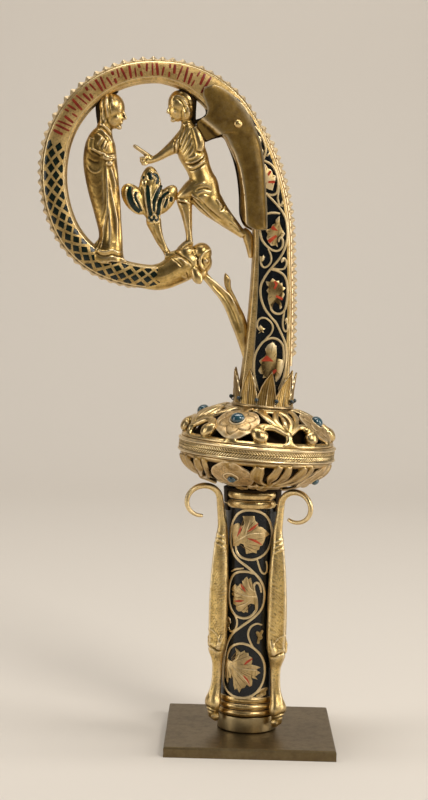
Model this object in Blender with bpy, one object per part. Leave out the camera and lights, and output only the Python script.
# Crosier head on its stand: a gilt crook with the Annunciation in its volute, a leaf crown,
# a pierced knop, an enamelled socket with three lizards, and a spigot on a square plate.
# Lengths below are in millimetres and angles in degrees; toObject() writes metres.
# Frame: origin under the middle of the plate, +Z up, the crook in the XZ plane with its
# volute towards -X and its front towards -Y.

import math

import bmesh
import bpy
from mathutils import Matrix, Vector

MM = 0.001
GAP = 0.3                     # clearance between two pieces that touch

# Stand
PLATE_WIDTH = 70.4
PLATE_DEPTH = 71.0
PLATE_THICK = 4.3
PLATE_CHAMFER = 0.8
PLATE_TURN = -4.5
SPIGOT_DISC_RADIUS = 12.6
SPIGOT_DISC_TOP = 11.0
SPIGOT_POST_RADIUS = 9.0
SPIGOT_POST_TOP = 60.0

# Socket, a hollow tube between two sets of rings
SOCKET_X = -1.0
SOCKET_FOOT = 11.3
SOCKET_TOP = 106.5
SOCKET_FOOT_RADIUS = 12.4
SOCKET_TOP_RADIUS = 11.0
SOCKET_WALL = 1.2
RING_OUT = 0.9                # how far a ring stands out of the tube
FOOT_RINGS = 3
FOOT_RING_HEIGHT = 2.8
TOP_RINGS = 2
TOP_RING_HEIGHT = 3.8

# Lizards, head down on the socket: bearing, and how far each one sits above the lowest
LIZARDS = {"lizard_left": (-154.5, 1.7), "lizard_right": (-46.0, 0.3), "lizard_back": (80.0, 0.8)}
TAIL_CENTRE = (23.7, 100.6)   # middle of the tail's hook, out from the socket's axis
TAIL_REACH = 7.9
TAIL_RISE = 6.3

# Knop, two pierced shells and a band, tilted a little about Y
KNOP_CENTRE = (0.2, 0.0, 123.9)
KNOP_TILT = 3.2
KNOP_RADIUS = 33.4
KNOP_BAND_HEIGHT = 6.3
KNOP_WALL = 1.5
KNOP_FLATNESS = 1.25          # 1 is an ellipse, more is flatter
KNOP_UPPER_HEIGHT = 13.8      # from the band to the upper collar
KNOP_LOWER_HEIGHT = 12.8      # from the band to the lower collar
KNOP_UPPER_COLLAR = 13.4
KNOP_LOWER_COLLAR = 12.2
DISC_TURN = -26.0             # bearing of the first leaf disc; the rest are 90 degrees apart
DISC_RADIUS = 8.8
DISC_SHARES = {True: 0.5, False: 0.4}   # how far up the upper and the lower shell a disc lies
DISC_RISE = 0.5
CABOCHON_RADIUS = 2.1

# Leaf crown
CROWN_CENTRE = (1.6, 0.0, 141.4)
CROWN_RADIUS = 12.5
CROWN_LEAVES = 9
CROWN_TURN = -6.5
CROWN_HEIGHT = 15.2
CROWN_FLOOR = 1.0
BEAD_RADIUS = 0.9

# Crook: start and heading of its centre line, then tangent arcs as (length, turn)
CROOK_START = (2.0, 143.3)
CROOK_HEADING = 85.0
CROOK_ARCS = ((65.2, 6.3), (58.7, 34.6), (34.9, 52.0), (59.7, 83.1), (28.8, 32.7), (25.8, 43.6),
              (23.0, 25.5))
CROOK_WIDTHS = (21.1, 15.3, 15.2, 9.2, 10.9, 10.5, 10.2, 9.9)
CROOK_THICKS = (12.0, 11.0, 10.4, 9.8, 9.2, 9.0, 9.0, 9.4)
CREST_PITCH = 3.6
CREST_START = 20.0
CREST_END = 283.0
CREST_FADE = 90.0             # length over which the crest sinks towards the serpent's neck
CREST_FADE_END = 0.35         # its height there, as a share
CREST_HIGH = 2.4
CREST_LOW = 1.2

# Wings, one on each face of the crook, and the rivet through them
WING_THICK = 1.3
WING_FOLD = 3.4               # how far the inner border turns in
# The wing's sections from its foot to its lobe, each from its inner edge to its outer edge
WING_SECTIONS = (((-5.4, 214.6), (1.4, 214.8)), ((-9.4, 219.0), (1.3, 220.0)),
                 ((-10.1, 229.0), (0.7, 230.0)), ((-11.4, 238.5), (-0.2, 240.0)),
                 ((-12.9, 248.0), (-1.8, 248.6)), ((-14.6, 252.6), (-3.6, 254.0)),
                 ((-18.5, 253.2), (-5.4, 258.6)), ((-24.7, 251.9), (-7.6, 263.4)),
                 ((-28.6, 256.6), (-9.6, 266.3)), ((-27.6, 259.6), (-11.6, 268.3)),
                 ((-23.6, 262.4), (-13.8, 270.2)), ((-24.3, 267.4), (-16.2, 271.8)),
                 ((-25.9, 271.2), (-18.8, 273.2)), ((-24.2, 273.6), (-21.6, 274.4)))
RIVET = (-11.6, 258.2)
RIVET_RADIUS = 1.0
RIVET_HEAD = 1.7

GILT = ("gilt", (0.72, 0.50, 0.20, 1.0), 0.32, 1.0)
ENAMEL = ("enamel", (0.02, 0.03, 0.045, 1.0), 0.25, 0.0)
STONE = ("stone", (0.03, 0.28, 0.30, 1.0), 0.15, 0.0)
BRONZE = ("bronze", (0.16, 0.10, 0.06, 1.0), 0.5, 0.9)
BRASS = ("brass", (0.42, 0.29, 0.13, 1.0), 0.4, 1.0)


# ---- Meshes and objects ----

def material(spec):
    name, colour, roughness, metallic = spec
    found = bpy.data.materials.get(name)
    if found:
        return found
    made = bpy.data.materials.new(name)
    made.use_nodes = True
    shader = made.node_tree.nodes["Principled BSDF"]
    shader.inputs["Base Color"].default_value = colour
    shader.inputs["Roughness"].default_value = roughness
    shader.inputs["Metallic"].default_value = metallic
    return made


def toObject(name, bm, spec=GILT, smooth=35.0):
    bmesh.ops.recalc_face_normals(bm, faces=bm.faces)
    bmesh.ops.scale(bm, vec=(MM, MM, MM), verts=bm.verts)
    mesh = bpy.data.meshes.new(name)
    bm.to_mesh(mesh)
    bm.free()
    mesh.shade_smooth()
    mesh.set_sharp_from_angle(angle=math.radians(smooth))
    mesh.materials.append(material(spec))
    made = bpy.data.objects.new(name, mesh)
    bpy.context.scene.collection.objects.link(made)
    return made


def bake(target):
    # Replaces the object's mesh by the one that its modifiers give.
    graph = bpy.context.evaluated_depsgraph_get()
    mesh = bpy.data.meshes.new_from_object(target.evaluated_get(graph))
    target.modifiers.clear()
    target.data = mesh


def combine(target, others, operation="UNION"):
    # Joins or cuts the target with each of the others, and removes them.
    for other in others:
        boolean = target.modifiers.new(operation.lower(), "BOOLEAN")
        boolean.operation = operation
        boolean.object = other
        bake(target)
        bpy.data.objects.remove(other)
    return target


def cutAway(target, others):
    return combine(target, others, "DIFFERENCE")


def fuse(target, voxel, triangles):
    # Melts overlapping lumps into one skin and thins it to about so many triangles.
    remesh = target.modifiers.new("melt", "REMESH")
    remesh.mode = "VOXEL"
    remesh.voxel_size = voxel * MM
    bake(target)
    count = sum(len(face.vertices) - 2 for face in target.data.polygons)
    decimate = target.modifiers.new("thin", "DECIMATE")
    decimate.ratio = min(1.0, triangles / count)
    bake(target)
    return target


# ---- Shapes ----

def skin(bm, rings):
    # Joins rings of the same count side by side and closes both ends.
    rows = [[bm.verts.new(point) for point in ring] for ring in rings]
    for low, high in zip(rows, rows[1:]):
        for k in range(len(low)):
            after = (k + 1) % len(low)
            bm.faces.new((low[k], low[after], high[after], high[k]))
    bm.faces.new(rows[0][::-1])
    bm.faces.new(rows[-1])


def ring(centre, across, deep, sides, direction=90.0):
    # An ellipse that faces along `direction` in the XZ plane, `across` wide and `deep` in Y.
    x, y, z = centre
    side = math.radians(direction - 90.0)
    points = []
    for k in range(sides):
        turn = 2 * math.pi * k / sides
        reach = across / 2 * math.cos(turn)
        points.append((x + reach * math.cos(side),
                       y + deep / 2 * math.sin(turn),
                       z + reach * math.sin(side)))
    return points


def limb(bm, stations, sides=10):
    # A body through stations (x, z, width, depth[, y]), each ring square to the path.
    rings = []
    for k, station in enumerate(stations):
        before = stations[max(k - 1, 0)]
        after = stations[min(k + 1, len(stations) - 1)]
        heading = math.degrees(math.atan2(after[1] - before[1], after[0] - before[0]))
        y = station[4] if len(station) > 4 else 0.0
        rings.append(ring((station[0], y, station[1]), station[2], station[3], sides, heading))
    skin(bm, rings)


def layers(bm, stations, sides=12):
    # A standing body through level stations (z, back x, front x, depth).
    rings = [ring(((back + front) / 2, 0.0, z), front - back, depth, sides)
             for z, back, front, depth in stations]
    skin(bm, rings)


def ball(bm, centre, radii, turn=0.0, segments=10):
    # An ellipsoid with radii along X, Y and Z, turned about Y.
    place = Matrix.Translation(centre) @ Matrix.Rotation(math.radians(turn), 4, "Y")
    place = place @ Matrix.Diagonal((*radii, 1.0))
    bmesh.ops.create_uvsphere(bm, u_segments=segments, v_segments=segments // 2 + 2,
                              radius=1.0, matrix=place)


def turned(name, profile, spec, steps=28, smooth=35.0, closed=True):
    # Spins a profile of (radius, z) about Z; a closed profile makes a hollow body.
    bm = bmesh.new()
    verts = [bm.verts.new((radius, 0.0, z)) for radius, z in profile]
    edges = [bm.edges.new(pair) for pair in zip(verts, verts[1:])]
    if closed:
        edges.append(bm.edges.new((verts[-1], verts[0])))
    bmesh.ops.spin(bm, geom=verts + edges, cent=(0, 0, 0), axis=(0, 0, 1),
                   angle=2 * math.pi, steps=steps, use_merge=True)
    bmesh.ops.remove_doubles(bm, verts=bm.verts, dist=0.001)
    return toObject(name, bm, spec, smooth)


def place(target, centre=(0, 0, 0), turnZ=0.0, tiltY=0.0):
    target.matrix_world = (Matrix.Translation(Vector(centre) * MM)
                           @ Matrix.Rotation(math.radians(tiltY), 4, "Y")
                           @ Matrix.Rotation(math.radians(turnZ), 4, "Z"))
    return target


# ---- Stand ----

def makeStand():
    bm = bmesh.new()
    size = Matrix.Diagonal((PLATE_WIDTH, PLATE_DEPTH, PLATE_THICK, 1.0))
    bmesh.ops.create_cube(bm, size=1.0, matrix=Matrix.Translation((0, 0, PLATE_THICK / 2)) @ size)
    top = [edge for edge in bm.edges if all(v.co.z > PLATE_THICK / 2 for v in edge.verts)]
    bmesh.ops.bevel(bm, geom=top, offset=PLATE_CHAMFER, segments=2, profile=0.5, affect="EDGES")
    place(toObject("stand_plate", bm, BRONZE), turnZ=PLATE_TURN)

    foot = PLATE_THICK + GAP
    spigot = turned("stand_spigot", ((0.0, foot), (SPIGOT_DISC_RADIUS, foot),
                                     (SPIGOT_DISC_RADIUS, SPIGOT_DISC_TOP),
                                     (SPIGOT_POST_RADIUS, SPIGOT_DISC_TOP),
                                     (SPIGOT_POST_RADIUS - 0.5, SPIGOT_POST_TOP),
                                     (0.0, SPIGOT_POST_TOP)), BRASS, steps=28, closed=False)
    place(spigot, (SOCKET_X, 0, 0))


# ---- Socket and lizards ----

def socketRadius(z):
    share = (z - SOCKET_FOOT) / (SOCKET_TOP - SOCKET_FOOT)
    return SOCKET_FOOT_RADIUS + share * (SOCKET_TOP_RADIUS - SOCKET_FOOT_RADIUS)


def rings(start, count, height, steps=2):
    # Rings one above the other, as (radius, z) points.
    points = []
    for k in range(count):
        for step in range(steps + 1):
            z = start + height * (k + step / steps)
            points.append((socketRadius(z) + RING_OUT * math.sin(math.pi * step / steps), z))
    return [point for k, point in enumerate(points) if k == 0 or point != points[k - 1]]


def makeSocket():
    outer = rings(SOCKET_FOOT, FOOT_RINGS, FOOT_RING_HEIGHT)
    outer += rings(SOCKET_TOP - TOP_RINGS * TOP_RING_HEIGHT, TOP_RINGS, TOP_RING_HEIGHT)
    inner = [(socketRadius(z) - SOCKET_WALL, z) for z in (SOCKET_TOP, SOCKET_FOOT)]
    place(turned("socket", outer + inner, ENAMEL), (SOCKET_X, 0, 0))


def makeLizard(name, bearing, lift):
    # Built at +X against the socket: head down, tail hooked outwards at the top.
    bm = bmesh.new()
    body = ((15.6, 7.6, 2.6, 4.6), (16.6, 11.0, 4.8, 6.6), (16.8, 16.0, 6.0, 8.4),
            (15.6, 21.0, 3.8, 4.8), (15.1, 31.5, 4.0, 4.8), (15.5, 37.0, 6.0, 8.4),
            (14.9, 42.0, 5.6, 9.8), (15.0, 60.0, 6.6, 10.2), (14.4, 74.0, 5.8, 8.6),
            (14.1, 80.0, 4.8, 6.6), (14.2, 88.0, 4.2, 4.4))
    limb(bm, body, 8)
    hook = [(14.2, 84.0, 4.0, 4.2), (14.6, 91.0, 3.6, 3.6)]
    for step in range(10):
        turn = math.radians(180 - 30 * step)
        size = 3.0 - 0.17 * step
        hook.append((TAIL_CENTRE[0] + TAIL_REACH * math.cos(turn),
                     TAIL_CENTRE[1] + TAIL_RISE * math.sin(turn), size, size))
    limb(bm, hook, 6)
    lizard = fuse(toObject(name, bm), 0.45, 300)
    tube = turned("cutter", ((0, 2), (SOCKET_FOOT_RADIUS + GAP + 1.0, 2),
                             (SOCKET_FOOT_RADIUS + GAP + 1.0, 20.2),
                             (socketRadius(20.2) + GAP, 20.2),
                             (SOCKET_TOP_RADIUS + GAP + 0.2, 96.8),
                             (SOCKET_TOP_RADIUS + GAP + 1.0, 96.9),
                             (SOCKET_TOP_RADIUS + GAP + 1.0, 108.0), (0, 108.0)),
                  GILT, closed=False)
    cutAway(lizard, [tube])
    place(lizard, (SOCKET_X, 0, lift), turnZ=bearing)


# ---- Knop ----

def shellCurve(share, height, collar, inset=0.0):
    # Radius and height above the band, from the rim (share 0) to the collar (share 1).
    rim = KNOP_RADIUS - 1.8 - inset
    turn = math.pi / 2 * share
    return (collar + (rim - collar) * math.cos(turn) ** KNOP_FLATNESS,
            KNOP_BAND_HEIGHT / 2 + GAP + (height - inset) * math.sin(turn) ** KNOP_FLATNESS)


def shellProfile(height, collar, up):
    # The outside from the band to the collar, the collar's floor, then back along the inside.
    shares = [step / 5 for step in range(6)]
    outer = [shellCurve(share, height, collar) for share in shares]
    inner = [shellCurve(share, height, collar, KNOP_WALL) for share in shares]
    bore = collar - 3.4
    points = outer + [(bore, outer[-1][1]), (bore, inner[-1][1])] + inner[::-1]
    return [(radius, z if up else -z) for radius, z in points]


def shellPoint(height, collar, up, share, bearing):
    # Point on a shell and its outward normal.
    low = shellCurve(share - 0.05, height, collar)
    high = shellCurve(share + 0.05, height, collar)
    radius, z = shellCurve(share, height, collar)
    sign = 1 if up else -1
    slope = Vector((high[1] - low[1], 0, sign * (low[0] - high[0]))).normalized()
    spin = Matrix.Rotation(math.radians(bearing), 3, "Z")
    return spin @ Vector((radius, 0, sign * z)), spin @ slope


def plug(name, centre, normal, radius, low, high, sides, spec=GILT, stretch=1.0, rim=0.0):
    # A disc or prism along `normal`, from `low` to `high` of its centre.
    bm = bmesh.new()
    turn = normal.to_track_quat("Z", "X").to_matrix().to_4x4()
    across = Matrix.Diagonal((stretch * radius, radius, high - low, 1.0))
    middle = Matrix.Translation((0, 0, (low + high) / 2))
    bmesh.ops.create_cone(bm, cap_ends=True, segments=sides, radius1=1.0, radius2=1.0 - rim,
                          depth=1.0, matrix=Matrix.Translation(centre) @ turn @ middle @ across)
    return toObject(name, bm, spec)


def dome(name, centre, normal, radius, height, spec, sides=8):
    # A low round-topped stone on a flat base.
    bm = bmesh.new()
    turn = normal.to_track_quat("Z", "X").to_matrix().to_4x4()
    rows = []
    for rise in (0.0, 35.0, 65.0):
        reach = radius * math.cos(math.radians(rise))
        up = height * math.sin(math.radians(rise))
        rows.append([(reach * math.cos(2 * math.pi * k / sides),
                      reach * math.sin(2 * math.pi * k / sides), up) for k in range(sides)])
    skin(bm, rows)
    bmesh.ops.transform(bm, matrix=Matrix.Translation(centre) @ turn, verts=bm.verts)
    return toObject(name, bm, spec, 60.0)


def makeShell(name, height, collar, up):
    shell = turned(name, shellProfile(height, collar, up), GILT, steps=20)
    for k in range(4):
        bearing = DISC_TURN + 90 * k
        centre, normal = shellPoint(height, collar, up, DISC_SHARES[up], bearing)
        combine(shell, [plug("disc", centre, normal, DISC_RADIUS, -1.6, DISC_RISE, 12, rim=0.06)])
    cutters = []
    for k in range(8):
        bearing = DISC_TURN + 22.5 + 45 * k
        for share, radius, stretch in ((0.3, 2.3, 1.0), (0.62, 1.9, 1.8)):
            centre, normal = shellPoint(height, collar, up, share, bearing)
            cutters.append(plug("hole", centre, normal, radius, -5.0, 5.0, 4, stretch=stretch))
    cutAway(shell, cutters)
    place(shell, KNOP_CENTRE, tiltY=KNOP_TILT)


def makeKnop():
    makeShell("knop_upper", KNOP_UPPER_HEIGHT, KNOP_UPPER_COLLAR, True)
    makeShell("knop_lower", KNOP_LOWER_HEIGHT, KNOP_LOWER_COLLAR, False)
    half = KNOP_BAND_HEIGHT / 2
    profile = ((KNOP_RADIUS - 3.2, -half), (KNOP_RADIUS - 0.9, -half), (KNOP_RADIUS, -half * 0.6),
               (KNOP_RADIUS - 0.5, -half * 0.45), (KNOP_RADIUS - 0.5, half * 0.45),
               (KNOP_RADIUS, half * 0.6), (KNOP_RADIUS - 0.9, half), (KNOP_RADIUS - 3.2, half))
    place(turned("knop_band", profile, GILT), KNOP_CENTRE, tiltY=KNOP_TILT)
    for half, height, collar, up in (("upper", KNOP_UPPER_HEIGHT, KNOP_UPPER_COLLAR, True),
                                     ("lower", KNOP_LOWER_HEIGHT, KNOP_LOWER_COLLAR, False)):
        for k in range(4):
            centre, normal = shellPoint(height, collar, up, DISC_SHARES[up], DISC_TURN + 90 * k)
            stone = dome(f"cabochon_{half}_{k + 1}", centre + normal * (DISC_RISE + GAP), normal,
                         CABOCHON_RADIUS, 1.7, STONE)
            place(stone, KNOP_CENTRE, tiltY=KNOP_TILT)


# ---- Leaf crown ----

def makeCrown():
    # A dished floor with keeled leaves that stand up round the crook's foot.
    crown = turned("leaf_crown", ((0.0, 0.0), (CROWN_RADIUS + 0.6, 0.0),
                                  (CROWN_RADIUS + 0.6, CROWN_FLOOR), (0.0, CROWN_FLOOR)),
                   GILT, steps=27, closed=False)
    leaves = []
    for k in range(CROWN_LEAVES):
        bm = bmesh.new()
        rows = []
        for share, half, out in ((0.0, 4.1, 0.0), (0.4, 3.7, 0.2), (0.75, 2.1, 0.3),
                                 (1.0, 0.25, 0.8)):
            z = 0.4 + (CROWN_HEIGHT - 0.4) * share
            inner = CROWN_RADIUS + out
            rows.append([(inner + 0.1, -half, z), (inner + 0.9, 0.0, z), (inner + 0.1, half, z),
                         (inner - 0.1, half, z), (inner + 0.3, 0.0, z), (inner - 0.1, -half, z)])
        skin(bm, rows)
        leaf = toObject("leaf", bm)
        bearing = CROWN_TURN + 360 / CROWN_LEAVES * k
        leaf.data.transform(Matrix.Rotation(math.radians(bearing), 4, "Z"))
        leaves.append(leaf)
    combine(crown, leaves)
    place(crown, CROWN_CENTRE, tiltY=KNOP_TILT)
    for k in range(CROWN_LEAVES):
        bearing = math.radians(CROWN_TURN + 360 / CROWN_LEAVES * (k + 0.5))
        reach = CROWN_RADIUS + 0.6 + BEAD_RADIUS + GAP
        bm = bmesh.new()
        bmesh.ops.create_icosphere(bm, subdivisions=1, radius=BEAD_RADIUS)
        bmesh.ops.translate(bm, verts=bm.verts, vec=(reach * math.cos(bearing),
                                                     reach * math.sin(bearing), 1.3))
        place(toObject(f"crown_bead_{k + 1}", bm, STONE, 60.0), CROWN_CENTRE, tiltY=KNOP_TILT)


# ---- Crook ----

def crookAt(along):
    # Point and heading of the centre line, with the width and thickness there.
    x, z = CROOK_START
    heading = math.radians(CROOK_HEADING)
    for k, (length, turn) in enumerate(CROOK_ARCS):
        run = min(max(along, 0.0), length) if k else min(along, length)
        bend = math.radians(turn) * run / length
        chord = run if abs(bend) < 1e-6 else 2 * run / bend * math.sin(bend / 2)
        x += chord * math.cos(heading + bend / 2)
        z += chord * math.sin(heading + bend / 2)
        heading += bend
        share = run / length
        width = CROOK_WIDTHS[k] + share * (CROOK_WIDTHS[k + 1] - CROOK_WIDTHS[k])
        thick = CROOK_THICKS[k] + share * (CROOK_THICKS[k + 1] - CROOK_THICKS[k])
        along -= length
        if along <= 0:
            break
    return Vector((x, 0, z)), heading, width, thick


def crookLength():
    return sum(length for length, turn in CROOK_ARCS)


def crookBody(name, grow=0.0, step=CREST_PITCH / 2, crest=True):
    # Sweeps a flat bar along the centre line, with a toothed ridge on its outer edge.
    bm = bmesh.new()
    count = round(crookLength() / step)
    rows = []
    for k in range(count + 1):
        along = crookLength() * k / count
        centre, heading, width, thick = crookAt(along)
        out = Vector((math.sin(heading), 0, -math.cos(heading)))
        half = width / 2 + grow
        deep = thick / 2 + grow
        rise = 0.0
        if crest and CREST_START < along < CREST_END:
            fade = min(1.0, CREST_FADE_END + (CREST_END - along) / CREST_FADE)
            rise = fade * (CREST_HIGH if k % 2 else CREST_LOW)
        outline = [(half + rise, 0.0), (half, deep), (-half, deep), (-half, -deep), (half, -deep)]
        rows.append([centre + out * u + Vector((0, v, 0)) for u, v in outline])
    skin(bm, rows)
    return toObject(name, bm)


def makeCrook():
    crook = crookBody("crook")
    bm = bmesh.new()
    limb(bm, ((-48.0, 195.4, 8.4, 8.0), (-43.0, 196.6, 11.4, 9.4), (-38.4, 198.2, 13.8, 10.2),
              (-33.0, 200.6, 16.2, 11.2), (-27.4, 202.4, 14.0, 11.4), (-23.0, 201.6, 9.6, 9.0),
              (-20.6, 200.6, 4.0, 4.0)), 12)
    ball(bm, (-25.0, 0, 196.6), (3.6, 3.6, 3.4))
    for side in (-1, 1):
        ball(bm, (-24.6, side * 4.6, 199.4), (2.2, 1.6, 2.2), segments=8)
        ball(bm, (-28.4, side * 4.8, 194.6), (1.7, 1.4, 3.4), turn=28, segments=8)
    limb(bm, ((-24.6, 197.0, 3.2, 3.2), (-20.4, 192.6, 3.4, 3.4), (-16.3, 188.4, 4.2, 4.0),
              (-12.9, 183.2, 4.8, 4.4), (-10.3, 176.6, 4.8, 4.6), (-8.0, 168.0, 4.6, 4.6),
              (-5.6, 159.6, 3.4, 4.0)), 8)
    limb(bm, ((-14.6, 186.6, 2.6, 2.8), (-12.4, 190.4, 2.8, 3.0), (-12.9, 194.0, 2.2, 2.4),
              (-13.8, 196.8, 0.6, 0.6)), 8)
    head = fuse(toObject("head", bm), 0.5, 480)
    combine(crook, [head])
    hole = plug("hole", Vector((RIVET[0], 0, RIVET[1])), Vector((0, 1, 0)),
                RIVET_RADIUS + GAP, -10, 10, 8)
    cutAway(crook, [hole])


def crookCutter():
    return crookBody("cutter", grow=GAP, step=6.0, crest=False)


# ---- Figures in the volute ----

def makeVirgin():
    bm = bmesh.new()
    layers(bm, ((199.6, -69.6, -54.6, 12.2), (203.5, -69.6, -55.2, 12.4),
                (209.5, -66.9, -56.6, 10.4), (214.0, -68.4, -57.2, 9.8),
                (220.0, -69.9, -57.8, 10.0), (227.0, -71.8, -58.5, 10.4),
                (235.0, -74.0, -59.2, 11.0), (242.0, -74.7, -60.4, 11.8),
                (247.5, -74.5, -60.9, 11.6), (251.5, -72.9, -61.4, 9.6),
                (254.0, -69.8, -62.2, 6.8), (257.0, -68.4, -61.8, 6.2)))
    ball(bm, (-64.2, 0, 262.0), (5.3, 4.8, 7.8), turn=-4)
    ball(bm, (-60.4, 0, 201.2), (6.4, 4.6, 1.8))
    ball(bm, (-62.6, 0, 238.6), (3.2, 5.4, 3.4))
    limb(bm, ((-66.2, 257.0, 4.6, 5.6), (-65.8, 264.0, 7.6, 6.4), (-65.0, 271.0, 11.0, 6.4)), 8)
    virgin = fuse(toObject("virgin", bm), 0.6, 460)
    cutAway(virgin, [crookCutter()])


def makeAngel():
    bm = bmesh.new()
    ball(bm, (-34.4, 0, 265.0), (5.0, 4.5, 7.2))
    limb(bm, ((-33.4, 259.6, 4.8, 4.8), (-31.6, 256.4, 6.4, 6.6), (-30.4, 252.6, 10.2, 10.0),
              (-30.0, 247.4, 12.4, 10.6), (-28.4, 241.6, 12.0, 9.4), (-26.0, 237.2, 11.0, 9.0),
              (-25.4, 233.0, 13.4, 10.0), (-25.8, 229.0, 16.8, 10.4), (-26.6, 225.8, 14.6, 9.6)))
    limb(bm, ((-28.6, 230.4, 10.0, 9.0), (-32.6, 226.6, 8.0, 7.0), (-32.2, 223.4, 6.4, 5.6),
              (-30.8, 218.9, 4.2, 4.6), (-29.8, 214.2, 2.9, 3.4), (-30.2, 211.2, 3.6, 3.6)))
    limb(bm, ((-25.0, 229.2, 13.0, 9.4), (-21.8, 225.2, 11.0, 9.0), (-17.1, 220.4, 8.2, 7.6),
              (-10.7, 215.2, 4.2, 4.6), (-6.2, 212.2, 2.8, 3.6)))
    limb(bm, ((-6.3, 213.4, 2.2, 3.6), (-5.9, 208.0, 2.2, 4.0), (-5.6, 203.4, 1.4, 3.0)), 8)
    limb(bm, ((-31.6, 250.8, 8.0, 7.0), (-35.5, 248.0, 6.6, 6.0), (-39.9, 245.3, 4.4, 4.2),
              (-44.8, 243.5, 2.8, 2.8), (-49.0, 243.1, 4.2, 3.8), (-51.4, 243.8, 2.4, 2.4)))
    limb(bm, ((-48.4, 244.2, 2.0, 2.0), (-51.4, 246.6, 1.8, 1.8), (-54.0, 248.8, 1.5, 1.5)), 8)
    limb(bm, ((-30.6, 260.0, 4.6, 5.2), (-31.4, 266.0, 6.8, 6.0), (-32.6, 273.0, 9.0, 6.0)), 8)
    angel = fuse(toObject("angel", bm), 0.55, 660)
    cutAway(angel, [crookCutter()])


def makeTree():
    bm = bmesh.new()
    ball(bm, (-46.6, 0, 229.0), (5.0, 3.0, 10.9), turn=-1)
    ball(bm, (-52.2, 0, 224.6), (4.3, 2.7, 8.0), turn=-40)
    ball(bm, (-41.2, 0, 226.0), (4.0, 2.7, 8.6), turn=24)
    limb(bm, ((-45.4, 219.6, 6.0, 5.0), (-44.8, 216.0, 5.6, 4.6), (-42.4, 210.6, 3.6, 3.8),
              (-40.2, 205.6, 2.6, 3.4)))
    return fuse(toObject("tree", bm), 0.5, 340)


def onCrook(x, z):
    # Whether a point of the front view lies on the crook's face, or on its clearance.
    steps = 160
    for step in range(steps):
        centre, heading, width, thick = crookAt(crookLength() * step / steps)
        if (centre - Vector((x, 0, z))).length < width / 2 + GAP:
            return True
    return False


def creaseShare(tip, outer):
    # Where a section of the wing leaves the crook's face, as a share from its outer edge.
    share = 0.0
    while share < 1.0:
        ahead = share + 0.02
        x = outer[0] + ahead * (tip[0] - outer[0])
        z = outer[1] + ahead * (tip[1] - outer[1])
        if not onCrook(x, z):
            break
        share = ahead
    return share


def makeWing(name, side):
    # A plate on the crook's face whose inner border turns in towards the angel's back.
    face = side * (CROOK_THICKS[1] / 2 + GAP)
    bm = bmesh.new()
    rows = []
    for tip, outer in WING_SECTIONS:
        tip, outer = Vector((tip[0], face, tip[1])), Vector((outer[0], face, outer[1]))
        crease = outer.lerp(tip, min(0.94, creaseShare((tip.x, tip.z), (outer.x, outer.z))))
        beyond = (tip - crease).length
        tip.y -= side * min(WING_FOLD, max(0.0, beyond - 0.8) * 0.7)
        thick = Vector((0, side * WING_THICK, 0))
        front = [outer, crease, tip]
        rows.append(front + [point + thick for point in front[::-1]])
    skin(bm, rows)
    wing = toObject(name, bm)
    hole = plug("hole", Vector((RIVET[0], face, RIVET[1])), Vector((0, 1, 0)),
                RIVET_RADIUS + GAP, -4, 4, 8)
    cutAway(wing, [hole])


def makeRivet():
    # One pin through both wings and the crook, with a round head on each end.
    reach = CROOK_THICKS[1] / 2 + WING_THICK + 2 * GAP
    profile = ((0.0, -reach - 1.0), (RIVET_HEAD * 0.7, -reach - 0.8), (RIVET_HEAD, -reach),
               (RIVET_RADIUS, -reach), (RIVET_RADIUS, reach), (RIVET_HEAD, reach),
               (RIVET_HEAD * 0.7, reach + 0.8), (0.0, reach + 1.0))
    rivet = turned("wing_rivet", profile, GILT, steps=12, closed=False)
    rivet.matrix_world = (Matrix.Translation(Vector((RIVET[0], 0, RIVET[1])) * MM)
                          @ Matrix.Rotation(math.radians(-90), 4, "X"))


def main():
    for old in list(bpy.data.objects):
        bpy.data.objects.remove(old)
    makeStand()
    makeSocket()
    for name, (bearing, lift) in LIZARDS.items():
        makeLizard(name, bearing, lift)
    makeKnop()
    makeCrown()
    makeCrook()
    makeVirgin()
    makeAngel()
    makeTree()
    makeWing("wing_front", -1)
    makeWing("wing_back", 1)
    makeRivet()


main()
